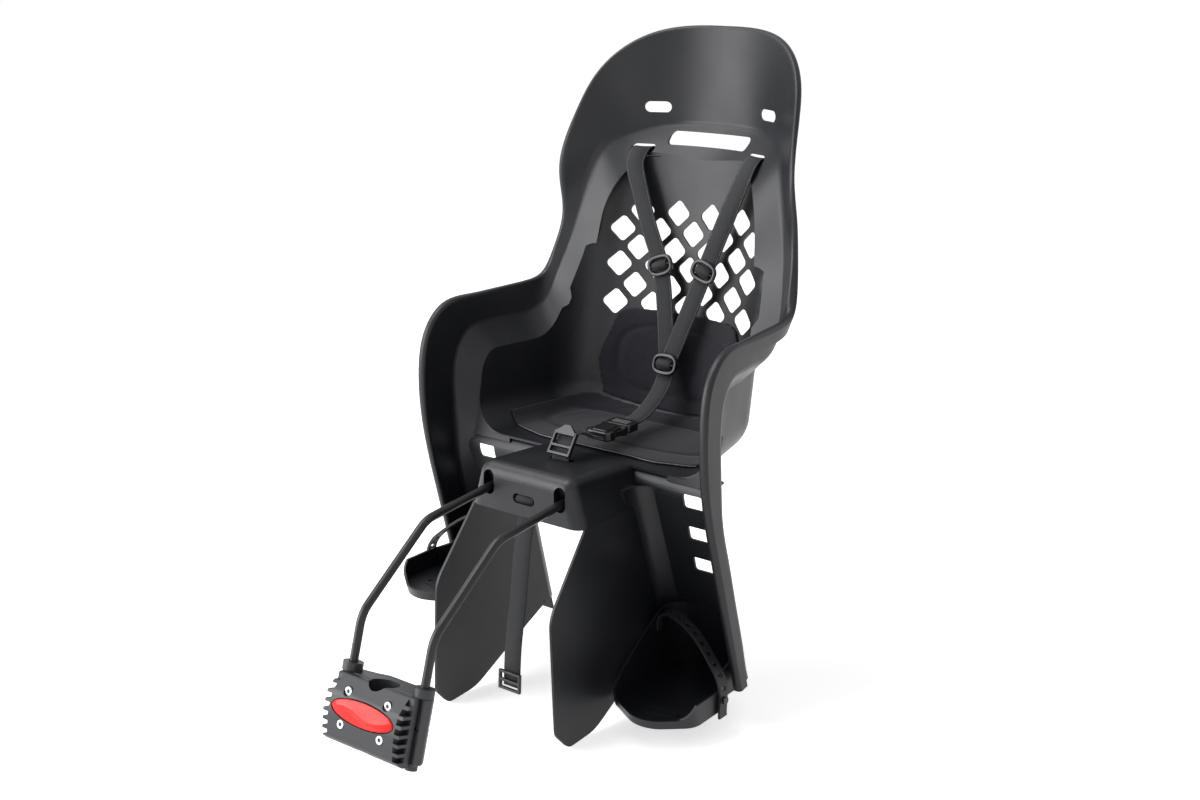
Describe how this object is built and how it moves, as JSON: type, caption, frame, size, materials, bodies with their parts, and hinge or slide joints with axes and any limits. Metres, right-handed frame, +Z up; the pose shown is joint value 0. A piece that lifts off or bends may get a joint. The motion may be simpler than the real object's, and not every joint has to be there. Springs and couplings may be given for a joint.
{
  "type": "rear child bike seat",
  "caption": "Rear child bike seat: moulded bucket with lattice back and wheel guard, pads, harness, footrests, and a steel bar that plugs into a seat tube clamp.",
  "frame": {"origin": "centre of the clamp's bore, on the bicycle's seat tube", "axes": "+Z up, -Y forward (the way the bicycle rides), +X to the child's left"},
  "size_m": [0.445, 0.6916, 0.7866],
  "materials": {
    "shell_plastic": "satin moulded polypropylene, near black",
    "bar_steel": "satin black coat",
    "plate_plastic": "fine grain",
    "clamp_plastic": "fine grain, dark grey",
    "red_plastic": "glossy red",
    "bright_steel": "zinc plated",
    "brass": "plain",
    "foot_plastic": "satin",
    "strap_rubber": "soft satin",
    "fitting_plastic": "satin black",
    "pad_felt": "charcoal felt",
    "webbing": "fine twill"
  },
  "bodies": {
    "seat": {"seat_shell": "shell_plastic", "carrier_bar": "bar_steel", "bar_plate": "plate_plastic", "bar_bolts": "bright_steel", "bar_inserts": "brass", "clamp_front": "clamp_plastic", "clamp_rear": "clamp_plastic", "clamp_screws": "bright_steel", "clamp_nuts": "bright_steel", "button_springs": "bright_steel", "seat_pad": "pad_felt", "back_pad": "pad_felt", "shoulder_strap_left": "webbing", "shoulder_strap_right": "webbing", "strap_keepers": "fitting_plastic", "adjuster_left": "fitting_plastic", "adjuster_right": "fitting_plastic", "junction_ring": "fitting_plastic", "lower_strap": "webbing", "crotch_strap": "webbing", "crotch_keeper": "fitting_plastic", "ladder_lock": "fitting_plastic", "buckle_female": "fitting_plastic", "buckle_male": "fitting_plastic", "safety_strap": "webbing", "safety_fitting": "fitting_plastic", "safety_keeper": "fitting_plastic"},
    "release": {"release_button": "red_plastic", "lock_arm_left": "bright_steel", "lock_arm_right": "bright_steel"},
    "foot_left": {"footrest_left": "foot_plastic", "foot_strap_left": "strap_rubber", "foot_studs_left": "fitting_plastic"},
    "foot_right": {"footrest_right": "foot_plastic", "foot_strap_right": "strap_rubber", "foot_studs_right": "fitting_plastic"}
  },
  "joints": [
    {"name": "release_press", "type": "slide", "parent": "seat", "child": "release", "axis": [0, 0.9563, -0.2924], "range_m": [0, 0.004], "stiffness_N_per_m": 600, "springref_m": -0.004, "deforming": ["button_springs"]},
    {"name": "footrest_left_slide", "type": "slide", "parent": "seat", "child": "foot_left", "axis": [0, -0.2873, 0.9578], "range_m": [0, 0.0898]},
    {"name": "footrest_right_slide", "type": "slide", "parent": "seat", "child": "foot_right", "axis": [0, -0.2873, 0.9578], "range_m": [-0.086, 0.0038]}
  ]
}
